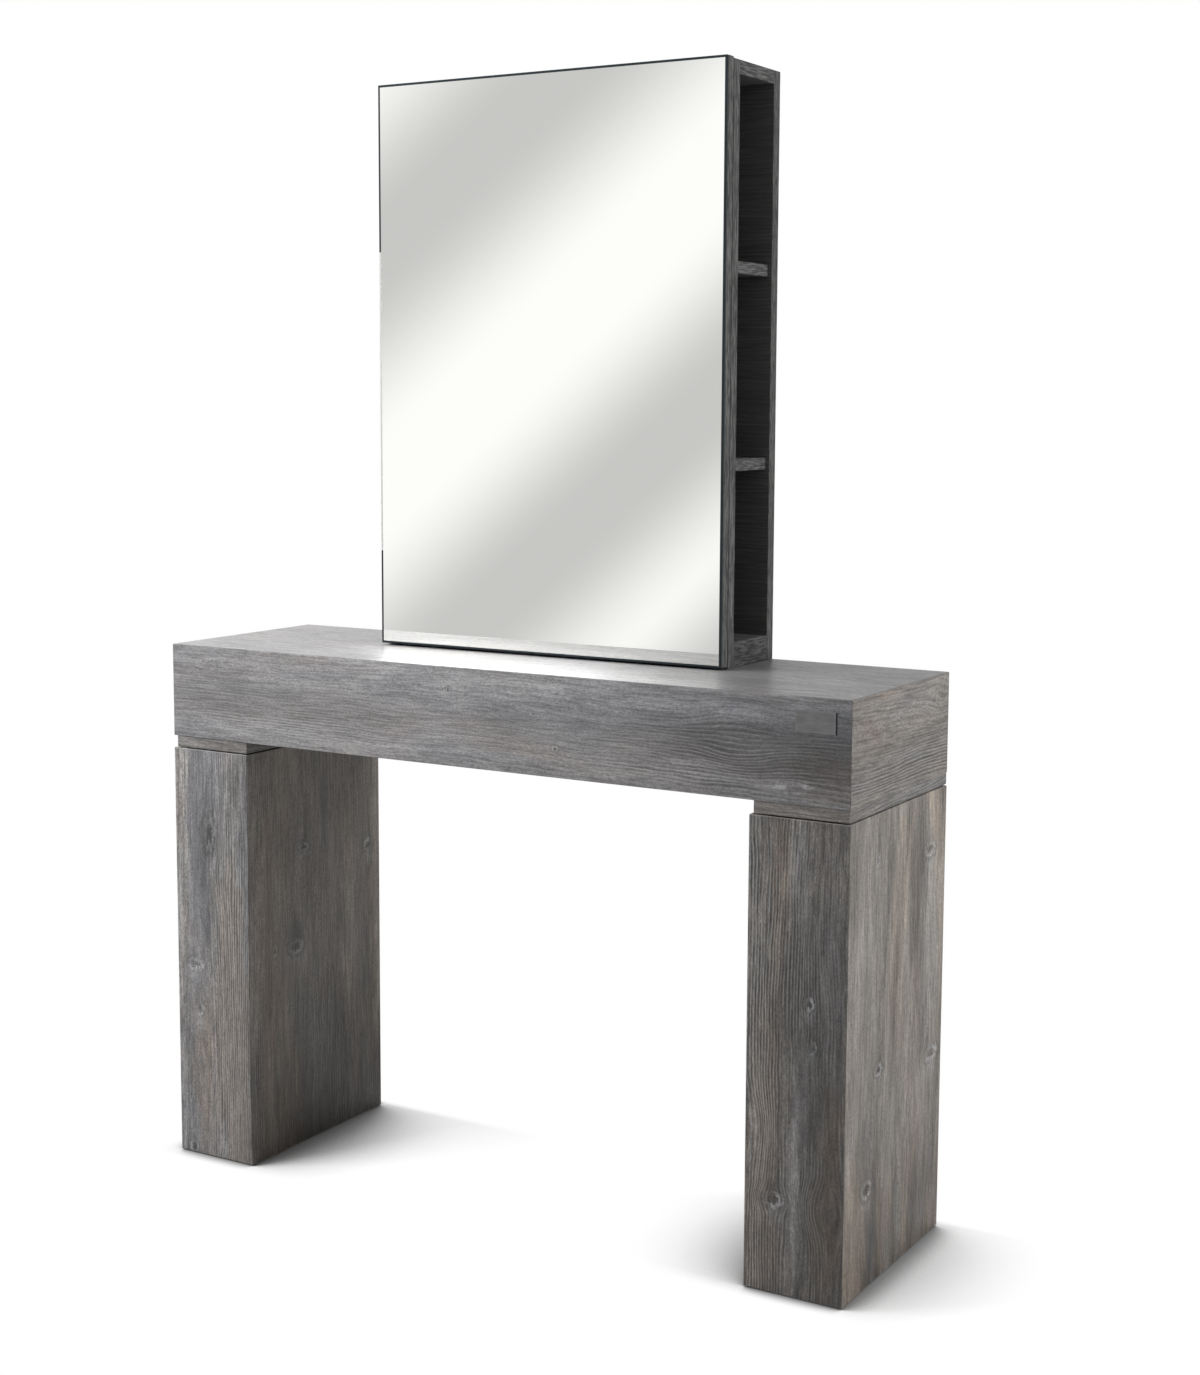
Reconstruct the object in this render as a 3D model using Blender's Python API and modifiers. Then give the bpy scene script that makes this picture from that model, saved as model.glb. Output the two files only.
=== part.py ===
"""Styling station for a hair salon: a hollow beam worktop on two hollow slab legs, with a mirror tower.

Metres, +Z up. The origin lies on the floor under the middle of the beam. The client sits on the -Y side,
and the +Y side stands against a wall. The tower stands on the beam, flush with its back edge.
"""

from math import radians, sqrt

import bmesh
import bpy
from mathutils import Vector

# Overall sizes
STATION_LENGTH = 1.200
STATION_DEPTH = 0.350
WORKTOP_HEIGHT = 0.850
FASCIA_HEIGHT = 0.150
LEG_WIDTH = 0.152
TOWER_WIDTH = 0.620
TOWER_HEIGHT = 0.888

# Boards of the beam and the legs
PANEL = 0.018
NECK_THICKNESS = 0.018
NECK_FRONT_RECESS = 0.0015
NECK_LEFT_RECESS = 0.006
NECK_RIGHT_RECESS = 0.001
SHADOW_GAP = 0.002
FLOOR_GAP = 0.002
BASE_RECESS = 0.010

# Layers and boards of the tower
GLASS = 0.004
BACKING = 0.016
CARCASS_BOARD = 0.020
NICHE_DEPTH = 0.112
TOWER_BASE = 0.038
DIVIDER = 0.018
MIRROR_LIP = 0.002
MIRROR_LIFT = 0.003

# Shelves of the niches, each held in stopped grooves in the front and rear panels
SHELF = 0.018
SHELF_SETBACK = 0.007
LOWER_NICHE = 0.254
MIDDLE_NICHE = 0.272
GROOVE_DEPTH = 0.006

# Fasteners
BOLT_RADIUS = 0.004
BOLT_HEAD_RADIUS = 0.008
BOLT_HEAD_HEIGHT = 0.005
BOLT_INSET = 0.025
SCREW_RADIUS = 0.003
SCREW_HEAD_RADIUS = 0.005
SCREW_HEAD_HEIGHT = 0.004
SCREW_SINK = 0.001
SCREW_SIDE_INSET = 0.100
SCREW_WALL_INSET = 0.030
POINT_COVER = 0.004

# Levelling feet
FOOT_RADIUS = 0.017
FOOT_COLLAR_RADIUS = 0.011
FOOT_RIM = 0.002
FOOT_SHOULDER = 0.003
FOOT_STEM_RADIUS = 0.004
FOOT_STEM_CHAMFER = 0.001
FOOT_INSET = 0.030
FOOT_TRAVEL = 0.012

# Fits: the gap between pieces that touch, and the easing of every board's edges
GAP = 0.0003
EDGE_EASE = 0.0006

# Facets round a turned piece
TURN_STEPS = 20
MERGE = 0.00001

# Levels and depths that several pieces share
HALF_LENGTH = STATION_LENGTH / 2
FRONT = -STATION_DEPTH / 2
BACK = STATION_DEPTH / 2
BEAM_LOW = WORKTOP_HEIGHT - FASCIA_HEIGHT
NECK_LOW = BEAM_LOW - NECK_THICKNESS
LEG_HIGH = NECK_LOW - SHADOW_GAP
BASE_LOW = FLOOR_GAP + BASE_RECESS
BASE_HIGH = BASE_LOW + PANEL
TOWER_LOW = WORKTOP_HEIGHT + GAP
MIRROR_HIGH = WORKTOP_HEIGHT + TOWER_HEIGHT
CARCASS_HIGH = MIRROR_HIGH - MIRROR_LIP
NICHE_LOW = TOWER_LOW + TOWER_BASE
NICHE_HIGH = CARCASS_HIGH - CARCASS_BOARD
NICHE_BACK = BACK - CARCASS_BOARD
NICHE_FRONT = NICHE_BACK - NICHE_DEPTH
CARCASS_FRONT = NICHE_FRONT - CARCASS_BOARD
BACKING_FRONT = CARCASS_FRONT - GAP - BACKING
LOWER_SHELF = NICHE_LOW + LOWER_NICHE
UPPER_SHELF = LOWER_SHELF + SHELF + MIDDLE_NICHE
SIDES = (("left", -1), ("right", 1))
AXES = "XYZ"


def clear_scene():
    for obj in list(bpy.data.objects):
        bpy.data.objects.remove(obj, do_unlink=True)


def new_collection(name):
    made = bpy.data.collections.new(name)
    bpy.context.scene.collection.children.link(made)
    return made


def new_finish(name, colour, roughness, metallic=0.0):
    finish = bpy.data.materials.new(name)
    finish.use_nodes = True
    shader = finish.node_tree.nodes["Principled BSDF"]
    shader.inputs["Base Color"].default_value = (*colour, 1.0)
    shader.inputs["Roughness"].default_value = roughness
    shader.inputs["Metallic"].default_value = metallic
    finish.diffuse_color = (*colour, 1.0)
    return finish


def new_group(name, place):
    """An empty that the pieces of one unit hang from."""
    group = bpy.data.objects.new(name, None)
    group.location = place
    STATION.objects.link(group)
    return group


def add_piece(name, mesh, group, place, finish):
    piece = bpy.data.objects.new(name, mesh)
    piece.parent = group
    piece.location = Vector(place) - group.location
    mesh.materials.append(finish)
    STATION.objects.link(piece)
    return piece


def add_cutter(name, mesh, place):
    cutter = bpy.data.objects.new(name, mesh)
    cutter.location = place
    cutter.hide_render = True
    cutter.display_type = "WIRE"
    CUTTERS.objects.link(cutter)
    return cutter


def box_mesh(name, size):
    shape = bmesh.new()
    bmesh.ops.create_cube(shape, size=1.0)
    bmesh.ops.scale(shape, vec=size, verts=shape.verts)
    mesh = bpy.data.meshes.new(name)
    shape.to_mesh(mesh)
    shape.free()
    return mesh


def turned_mesh(name, outline):
    """A half outline of (radius, height) points, from the top of the axis to the bottom."""
    shape = bmesh.new()
    points = [shape.verts.new((radius, 0.0, height)) for radius, height in outline]
    for upper, lower in zip(points, points[1:]):
        shape.edges.new((upper, lower))
    mesh = bpy.data.meshes.new(name)
    shape.to_mesh(mesh)
    shape.free()
    return mesh


def turn(obj):
    spin = obj.modifiers.new("turned", "SCREW")
    spin.axis = "Z"
    spin.angle = radians(360)
    spin.steps = TURN_STEPS
    spin.render_steps = TURN_STEPS
    spin.use_merge_vertices = True
    spin.merge_threshold = MERGE


def mitre(board, outer, edges):
    """Cut the named edges back at 45 degrees behind the outer face, half a joint gap clear of the corner."""
    normal_axis = AXES.index(outer[1])
    outward = 1 if outer[0] == "+" else -1
    corners = board.data.vertices
    half_thickness = max(abs(corner.co[normal_axis]) for corner in corners)
    half_joint = GAP / sqrt(2)
    for edge in edges:
        axis = AXES.index(edge[1])
        towards = 1 if edge[0] == "+" else -1
        on_edge = [corner for corner in corners if corner.co[axis] * towards > 0]
        for corner in on_edge:
            behind = corner.co[normal_axis] * outward < 0
            corner.co[axis] -= towards * (half_joint + (2 * half_thickness if behind else 0.0))


def board(name, group, low, high, finish, outer=None, mitred=()):
    """A board between two corners, with any mitred edges and with all its edges eased."""
    low = Vector(low)
    high = Vector(high)
    piece = add_piece(name, box_mesh(name, high - low), group, (low + high) / 2, finish)
    if mitred:
        mitre(piece, outer, mitred)
    ease = piece.modifiers.new("eased edges", "BEVEL")
    ease.width = EDGE_EASE
    ease.segments = 1
    ease.limit_method = "ANGLE"
    return piece


def cut(cutter, *boards):
    for piece in boards:
        hole = piece.modifiers.new(cutter.name, "BOOLEAN")
        hole.operation = "DIFFERENCE"
        hole.solver = "EXACT"
        hole.object = cutter


def fastener(name, group, outline, place, tilt, finish):
    piece = add_piece(name, turned_mesh(name, outline), group, place, finish)
    piece.rotation_euler = (radians(tilt), 0.0, 0.0)
    turn(piece)
    return piece


def turned_cutter(name, outline, place, tilt):
    cutter = add_cutter(name, turned_mesh(name, outline), place)
    cutter.rotation_euler = (radians(tilt), 0.0, 0.0)
    turn(cutter)
    return cutter


def headed_outline(head_radius, head_height, shank_radius, length, grow=0.0, above=0.0):
    """A head whose top is at 0, and a shank down to -length; a hole for it is grown and starts above it."""
    return [
        (0.0, above),
        (head_radius + grow, above),
        (head_radius + grow, -head_height - grow),
        (shank_radius + grow, -head_height - grow),
        (shank_radius + grow, -length - grow),
        (0.0, -length - grow),
    ]


def shank_hole_outline(radius, high, low):
    return [(0.0, high), (radius + GAP, high), (radius + GAP, low), (0.0, low)]


def sunk_screw(name, group, place, tilt, length, boards):
    """A screw with its head below the surface at the given place, through the first board into the next."""
    sizes = (SCREW_HEAD_RADIUS, SCREW_HEAD_HEIGHT, SCREW_RADIUS, length)
    hole = headed_outline(*sizes, grow=GAP, above=2 * SCREW_SINK)
    head_top = Vector(place)
    cutter = turned_cutter(name + "_hole", hole, head_top, tilt)
    cut(cutter, *boards)
    return fastener(name, group, headed_outline(*sizes), head_top, tilt, ZINC)


def build_beam():
    group = new_group("beam", (0.0, 0.0, BEAM_LOW))
    under_top = WORKTOP_HEIGHT - PANEL
    worktop = board("worktop_board", group, (-HALF_LENGTH, FRONT, under_top),
                    (HALF_LENGTH, BACK, WORKTOP_HEIGHT), PINE, "+Z", ("-X", "+X", "-Y"))
    board("front_fascia", group, (-HALF_LENGTH, FRONT, BEAM_LOW),
          (HALF_LENGTH, FRONT + PANEL, WORKTOP_HEIGHT), PINE, "-Y", ("-X", "+X", "+Z"))
    board("left_end_panel", group, (-HALF_LENGTH, FRONT, BEAM_LOW),
          (-HALF_LENGTH + PANEL, BACK, WORKTOP_HEIGHT), PINE, "-X", ("-Y", "+Z"))
    board("right_end_panel", group, (HALF_LENGTH - PANEL, FRONT, BEAM_LOW),
          (HALF_LENGTH, BACK, WORKTOP_HEIGHT), PINE, "+X", ("-Y", "+Z"))
    inner_x = HALF_LENGTH - PANEL - GAP
    inner_front = FRONT + PANEL + GAP
    inner_back = BACK - PANEL - GAP
    board("beam_back_panel", group, (-inner_x, BACK - PANEL, BEAM_LOW),
          (inner_x, BACK, under_top - GAP), PINE)
    bottom = board("beam_bottom_board", group, (-inner_x, inner_front, BEAM_LOW),
                   (inner_x, inner_back, BEAM_LOW + PANEL), PINE)
    ribs = (("leg", HALF_LENGTH - LEG_WIDTH + PANEL / 2), ("tower", TOWER_WIDTH / 2 - PANEL / 2))
    for side, sign in SIDES:
        for use, middle in ribs:
            x_low = sign * middle - PANEL / 2
            board(f"{side}_{use}_rib", group, (x_low, inner_front, BEAM_LOW + PANEL + GAP),
                  (x_low + PANEL, inner_back, under_top - GAP), PINE)
    return worktop, bottom


def build_leg(side, sign, beam_bottom):
    middle = sign * (HALF_LENGTH - LEG_WIDTH / 2)
    group = new_group(f"{side}_leg", (middle, 0.0, 0.0))
    x_low = middle - LEG_WIDTH / 2
    x_high = middle + LEG_WIDTH / 2
    low_x_name, high_x_name = ("outer", "inner") if sign < 0 else ("inner", "outer")
    panels = (
        ("front", (x_low, FRONT), (x_high, FRONT + PANEL), "-Y", ("-X", "+X")),
        ("back", (x_low, BACK - PANEL), (x_high, BACK), "+Y", ("-X", "+X")),
        (low_x_name, (x_low, FRONT), (x_low + PANEL, BACK), "-X", ("-Y", "+Y")),
        (high_x_name, (x_high - PANEL, FRONT), (x_high, BACK), "+X", ("-Y", "+Y")),
    )
    for face, low, high, outer, mitred in panels:
        board(f"{side}_leg_{face}_panel", group, (*low, FLOOR_GAP), (*high, LEG_HIGH), PINE, outer, mitred)
    neck = board(f"{side}_neck_board", group, (x_low + NECK_LEFT_RECESS, FRONT + NECK_FRONT_RECESS, NECK_LOW),
                 (x_high - NECK_RIGHT_RECESS, BACK, BEAM_LOW - GAP), PINE)
    inside = PANEL + GAP
    top_high = NECK_LOW - GAP
    top = board(f"{side}_leg_top_board", group, (x_low + inside, FRONT + inside, top_high - PANEL),
                (x_high - inside, BACK - inside, top_high), PINE)
    base = board(f"{side}_leg_base_board", group, (x_low + inside, FRONT + inside, BASE_LOW),
                 (x_high - inside, BACK - inside, BASE_HIGH), PINE)
    bolt_up_leg(side, group, middle, top_high - PANEL, (top, neck, beam_bottom))
    stand_on_feet(side, group, middle, base)


def corner_places(middle, inset):
    """Four places inside a leg, the inset away from its panels, named by row and column."""
    out_x = LEG_WIDTH / 2 - PANEL - inset
    out_y = BACK - PANEL - inset
    for row, y in (("front", -out_y), ("rear", out_y)):
        for column, x in (("left", middle - out_x), ("right", middle + out_x)):
            yield f"{row}_{column}", x, y


def bolt_up_leg(side, group, middle, top_low, boards):
    """Bolts from inside the leg, up through its top and the neck, with their ends in the beam's bottom."""
    bearing = top_low - GAP
    bolt_end = BEAM_LOW + PANEL - POINT_COVER
    length = bolt_end - bearing + BOLT_HEAD_HEIGHT
    outline = headed_outline(BOLT_HEAD_RADIUS, BOLT_HEAD_HEIGHT, BOLT_RADIUS, length)
    for corner, x, y in corner_places(middle, BOLT_INSET):
        place = (x, y, bearing - BOLT_HEAD_HEIGHT)
        name = f"{side}_leg_bolt_{corner}"
        hole = shank_hole_outline(BOLT_RADIUS, 0.0, -length - GAP)
        cut(turned_cutter(name + "_hole", hole, place, 180), *boards)
        fastener(name, group, outline, place, 180, ZINC)


def stand_on_feet(side, group, middle, base):
    """Feet screwed right in: the pad lies under the base board, and the stem passes through it."""
    pad_high = BASE_LOW - GAP
    stem_high = BASE_HIGH + FOOT_TRAVEL
    outline = [
        (0.0, stem_high),
        (FOOT_STEM_RADIUS - FOOT_STEM_CHAMFER, stem_high),
        (FOOT_STEM_RADIUS, stem_high - FOOT_STEM_CHAMFER),
        (FOOT_STEM_RADIUS, pad_high),
        (FOOT_COLLAR_RADIUS, pad_high),
        (FOOT_RADIUS, pad_high - FOOT_SHOULDER),
        (FOOT_RADIUS, FOOT_RIM),
        (FOOT_RADIUS - FOOT_RIM, 0.0),
        (0.0, 0.0),
    ]
    for corner, x, y in corner_places(middle, FOOT_INSET):
        name = f"{side}_foot_{corner}"
        hole = shank_hole_outline(FOOT_STEM_RADIUS, stem_high, pad_high)
        cut(turned_cutter(name + "_hole", hole, (x, y, 0.0), 0), base)
        fastener(name, group, outline, (x, y, 0.0), 0, BLACK_PLASTIC)


def build_tower(worktop):
    group = new_group("tower", (0.0, BACK, WORKTOP_HEIGHT))
    half = TOWER_WIDTH / 2
    mirror_low = WORKTOP_HEIGHT + MIRROR_LIFT
    board("mirror_glass", group, (-half, BACKING_FRONT - GAP - GLASS, mirror_low),
          (half, BACKING_FRONT - GAP, MIRROR_HIGH), SILVER)
    backing = board("mirror_backing_board", group, (-half, BACKING_FRONT, mirror_low),
                    (half, BACKING_FRONT + BACKING, MIRROR_HIGH), OAK)
    front = board("tower_front_panel", group, (-half, CARCASS_FRONT, TOWER_LOW),
                  (half, NICHE_FRONT, CARCASS_HIGH), OAK)
    rear = board("tower_rear_panel", group, (-half, NICHE_BACK, TOWER_LOW), (half, BACK, CARCASS_HIGH), OAK)
    between_front = NICHE_FRONT + GAP
    between_back = NICHE_BACK - GAP
    board("tower_top_board", group, (-half, between_front, NICHE_HIGH),
          (half, between_back, CARCASS_HIGH), OAK)
    base = board("tower_base_board", group, (-half, between_front, TOWER_LOW),
                 (half, between_back, NICHE_LOW), OAK)
    board("tower_divider", group, (-DIVIDER / 2, between_front, NICHE_LOW + GAP),
          (DIVIDER / 2, between_back, NICHE_HIGH - GAP), OAK)
    fit_shelves(group, half, front, rear)
    screw_tower_down(group, half, base, worktop)
    screw_mirror_on(group, half, front, backing)


def fit_shelves(group, half, front, rear):
    """Shelves at the same levels on both sides, each housed in grooves that stop short of the opening."""
    shelf_end = half - SHELF_SETBACK
    shelf_start = DIVIDER / 2 + GAP
    housed_front = NICHE_FRONT - GROOVE_DEPTH + GAP
    housed_back = NICHE_BACK + GROOVE_DEPTH - GAP
    for number, shelf_low in ((1, LOWER_SHELF), (2, UPPER_SHELF)):
        shelf_high = shelf_low + SHELF
        groove_size = (2 * (shelf_end + GAP), NICHE_DEPTH + 2 * GROOVE_DEPTH, SHELF + 2 * GAP)
        groove_place = (0.0, (NICHE_FRONT + NICHE_BACK) / 2, (shelf_low + shelf_high) / 2)
        groove = add_cutter(f"shelf_{number}_groove", box_mesh("groove", groove_size), groove_place)
        cut(groove, front, rear)
        for side, sign in SIDES:
            x_low, x_high = sorted((sign * shelf_start, sign * shelf_end))
            board(f"{side}_shelf_{number}", group, (x_low, housed_front, shelf_low),
                  (x_high, housed_back, shelf_high), OAK)


def screw_tower_down(group, half, base, worktop):
    """Screws from the lowest niches, through the tower's base into the worktop."""
    head_top = NICHE_LOW - SCREW_SINK
    length = head_top - (WORKTOP_HEIGHT - PANEL + POINT_COVER)
    rows = (("front", NICHE_FRONT + SCREW_WALL_INSET), ("rear", NICHE_BACK - SCREW_WALL_INSET))
    for side, sign in SIDES:
        for row, y in rows:
            place = (sign * (half - SCREW_SIDE_INSET), y, head_top)
            sunk_screw(f"{side}_tower_screw_{row}", group, place, 0, length, (base, worktop))


def screw_mirror_on(group, half, front, backing):
    """Screws from the lowest and highest niches, through the front panel into the mirror's backing."""
    head_top = NICHE_FRONT - SCREW_SINK
    length = head_top - (BACKING_FRONT + POINT_COVER)
    rows = (("low", NICHE_LOW + LOWER_NICHE / 2), ("high", (UPPER_SHELF + SHELF + NICHE_HIGH) / 2))
    for side, sign in SIDES:
        for row, z in rows:
            place = (sign * (half - SCREW_SIDE_INSET), head_top, z)
            sunk_screw(f"{side}_mirror_screw_{row}", group, place, -90, length, (front, backing))


clear_scene()
STATION = new_collection("styling_station")
CUTTERS = new_collection("cutters")
PINE = new_finish("weathered_grey_pine", (0.20, 0.19, 0.175), 0.55)
OAK = new_finish("dark_grey_oak", (0.075, 0.075, 0.072), 0.6)
SILVER = new_finish("mirror_silver", (0.88, 0.89, 0.88), 0.02, 1.0)
ZINC = new_finish("zinc_plated_steel", (0.60, 0.60, 0.58), 0.35, 1.0)
BLACK_PLASTIC = new_finish("black_plastic", (0.02, 0.02, 0.02), 0.5)

worktop_board, beam_bottom_board = build_beam()
for leg_side, leg_sign in SIDES:
    build_leg(leg_side, leg_sign, beam_bottom_board)
build_tower(worktop_board)
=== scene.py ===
"""Looks of a hair salon's styling station: weathered pine boards, a dark oak tower, a mirror and hardware.

Metres, +Z up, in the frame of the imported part: the client sits on the -Y side, the wall is on the +Y side.
The boards keep the part's own solids and get their finish here. The mirror, the plate, the fasteners and
the feet are modelled.
"""

from math import pi, radians, tau
from random import Random
from types import SimpleNamespace
from typing import NamedTuple

import bmesh
import bpy
from bpy.props import FloatProperty, FloatVectorProperty, IntProperty, PointerProperty
from bpy.types import NodeSocket, Operator, Panel, PropertyGroup
from mathutils import Matrix, Vector


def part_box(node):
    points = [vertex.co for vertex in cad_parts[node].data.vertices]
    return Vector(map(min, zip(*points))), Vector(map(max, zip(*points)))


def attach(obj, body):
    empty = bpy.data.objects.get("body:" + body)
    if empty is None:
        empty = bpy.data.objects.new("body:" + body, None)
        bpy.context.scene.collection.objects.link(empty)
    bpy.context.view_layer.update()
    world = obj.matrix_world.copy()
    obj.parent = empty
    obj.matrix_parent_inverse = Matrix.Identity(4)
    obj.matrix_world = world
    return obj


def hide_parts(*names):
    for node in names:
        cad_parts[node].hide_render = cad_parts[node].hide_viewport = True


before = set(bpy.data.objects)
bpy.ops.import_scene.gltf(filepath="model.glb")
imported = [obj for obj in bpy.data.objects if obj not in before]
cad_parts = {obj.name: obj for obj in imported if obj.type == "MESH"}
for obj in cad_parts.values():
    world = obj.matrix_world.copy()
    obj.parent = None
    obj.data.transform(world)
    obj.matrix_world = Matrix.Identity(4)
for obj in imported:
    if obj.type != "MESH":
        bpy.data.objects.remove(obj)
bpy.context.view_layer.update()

bl_info = {
    "name": "Styling Station Looks",
    "version": (1, 0, 0),
    "blender": (4, 5, 0),
    "location": "View3D > Sidebar > Station",
    "description": "Dresses a salon styling station in weathered pine, dark oak and mirror glass",
    "category": "Object",
}

STATION = "station"
PINE_SLOT = "weathered_grey_pine"
SILVER_SLOT = "mirror_silver"
ZINC_SLOT = "zinc_plated_steel"
PLASTIC_SLOT = "black_plastic"
SIDES = ("left", "right")
CORNERS = ("front_left", "front_right", "rear_left", "rear_right")


def colour(name, description, default):
    return FloatVectorProperty(name=name, description=description, default=default,
                               subtype="COLOR", size=3, min=0.0, max=1.0)


def number(name, description, default, **settings):
    return FloatProperty(name=name, description=description, default=default, **settings)


def length(name, description, default):
    return number(name, description, default, min=0.0, precision=4, subtype="DISTANCE", unit="LENGTH")


def angle(name, description, default):
    return number(name, description, radians(default), subtype="ANGLE", unit="ROTATION")


class StationColours(PropertyGroup):
    """Colours of the finishes, as linear light"""

    pine_grey: colour("Pine grey", "Middle tone of the pine", (0.187, 0.1855, 0.190))
    # Also the painted highlight on the boards' chamfers
    pine_bleached: colour("Pine bleached", "Palest weathered lines of the pine", (0.380, 0.373, 0.368))
    pine_warm: colour("Pine warm", "Tint of the boards that kept some warmth", (1.0, 0.918, 0.800))
    pine_brown: colour("Pine brown", "Tint of the streaks that kept their brown", (1.0, 0.905, 0.835))
    pine_slate: colour("Pine slate", "Tint of the streaks that went blue-grey", (0.915, 0.94, 1.0))
    pine_scar: colour("Pine scar", "Blue-grey smear beside a knot", (0.400, 0.402, 0.408))
    pine_knot: colour("Pine knot", "Heart of a knot", (0.040, 0.037, 0.035))
    oak_edge: colour("Oak edge", "Edge bands of the tower's boards", (0.082, 0.082, 0.0805))
    oak_face: colour("Oak face", "Faces of the tower's boards", (0.087, 0.086, 0.085))
    silver: colour("Silver", "What the mirror sends back", (0.93, 0.93, 0.905))
    # Painted: the dark line round the mirror stands in for the dark reflection of its edge, and the strip
    # beside the plate for a shadow
    seal: colour("Seal", "Dark line round the mirror's edge", (0.020, 0.026, 0.030))
    # Painted highlight on the left stretch of that line
    seal_gap: colour("Seal gap", "Pale stretch of that line on the left", (0.50, 0.50, 0.49))
    ground_edge: colour("Ground edge", "Ground sides of the mirror glass", (0.052, 0.055, 0.056))
    plate: colour("Plate", "Bare plate on the fascia", (0.150, 0.149, 0.148))
    zinc: colour("Zinc", "Plated bolts and screws", (0.62, 0.62, 0.60))
    plastic: colour("Plastic", "Moulded pads of the feet", (0.018, 0.018, 0.019))
    floor: colour("Floor", "Studio floor", (0.52, 0.52, 0.52))
    floor_bounce: colour("Floor bounce", "What the floor throws back on the station", (0.42, 0.42, 0.42))


class StationSizes(PropertyGroup):
    """Sizes of the pieces that are modelled here"""

    mirror_arris: length("Mirror arris", "Width of the ground edge of the glass", 0.0008)
    # The painted dark line round the mirror, and where its painted highlight starts and ends
    mirror_seal: length("Mirror seal", "Width of the dark line inside the edge", 0.0030)
    gap_low: length("Gap low", "From the mirror's foot to the line's pale stretch", 0.150)
    gap_high: length("Gap high", "From the mirror's foot to the end of that stretch", 0.625)
    plate_length: length("Plate length", "Length of the bare plate on the fascia", 0.060)
    plate_height: length("Plate height", "Height of the bare plate on the fascia", 0.030)
    plate_thickness: length("Plate thickness", "How far the plate stands off the fascia", 0.0004)
    plate_end_inset: length("Plate end inset", "From the beam's right end to the plate", 0.023)
    plate_top_inset: length("Plate top inset", "From the worktop down to the plate", 0.018)
    # Painted shadow beside the plate
    slit_width: length("Slit width", "Width of the dark slit beside the plate", 0.0018)
    thread_pitch: length("Thread pitch", "Rise of the bolts' and feet's threads in one turn", 0.00125)
    wood_pitch: length("Wood screw pitch", "Rise of the wood screws' threads in one turn", 0.0025)
    thread_depth: length("Thread depth", "Depth of the threads", 0.0006)
    facets: IntProperty(name="Facets", description="Facets round a turned piece", default=36, min=12)


class StationStage(PropertyGroup):
    """Camera, lamps and background"""

    camera_place: FloatVectorProperty(name="Camera place", description="Where the camera stands",
                                      default=(1.7214, -2.7226, 1.2478),
                                      subtype="TRANSLATION", unit="LENGTH")
    camera_yaw: angle("Camera yaw", "Turn of the camera to the left of the wall's normal", 30.718)
    camera_pitch: angle("Camera pitch", "Tilt of the camera above the horizon", -6.514)
    camera_roll: angle("Camera roll", "Turn of the camera about its own axis", 0.253)
    camera_lens: number("Camera lens", "Focal length on a 36 mm sensor", 54.793, unit="CAMERA")
    camera_shift: number("Camera shift", "Vertical shift of the lens", -0.036)
    ambient: number("Ambient", "Light of the white room", 0.28, min=0.0)
    floor_radius: length("Floor radius", "Radius of the studio floor", 4.0)
    floor_lift: number("Floor lift", "Glow that keeps the bare floor white", 0.70, min=0.0)
    contact_reach: length("Contact reach", "How far the floor darkens round the legs", 0.26)
    band_dark: number("Band dark", "Grey of the bands in the mirror", 0.614)
    band_light: number("Band light", "White of the bands in the mirror", 1.06)


def node_maths(operation):
    """A method of a value in a node tree that works something out with another value."""
    def method(self, other):
        return self.bench.maths(operation, self, other)
    return method


class Level:
    """A value in a node tree: arithmetic on it adds the nodes that work it out."""

    def __init__(self, bench, socket):
        self.bench = bench
        self.socket = socket

    __add__ = node_maths("ADD")
    __radd__ = __add__
    __sub__ = node_maths("SUBTRACT")
    __mul__ = node_maths("MULTIPLY")
    __rmul__ = __mul__
    __truediv__ = node_maths("DIVIDE")
    __lt__ = node_maths("LESS_THAN")
    __gt__ = node_maths("GREATER_THAN")

    def __rsub__(self, other):
        return self.bench.maths("SUBTRACT", other, self)

    def __abs__(self):
        return self.bench.maths("ABSOLUTE", self)

    def span(self, low, high, to_low=0.0, to_high=1.0):
        """A smooth step from one level to another between two values."""
        step = self.bench.add("MapRange", self, low, high, to_low, to_high, interpolation_type="SMOOTHSTEP")
        return Level(self.bench, step.outputs[0])

    def swing(self, amount):
        """A factor about 1 that goes up and down with a value from 0 to 1."""
        return self * (2 * amount) + (1.0 - amount)


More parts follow.
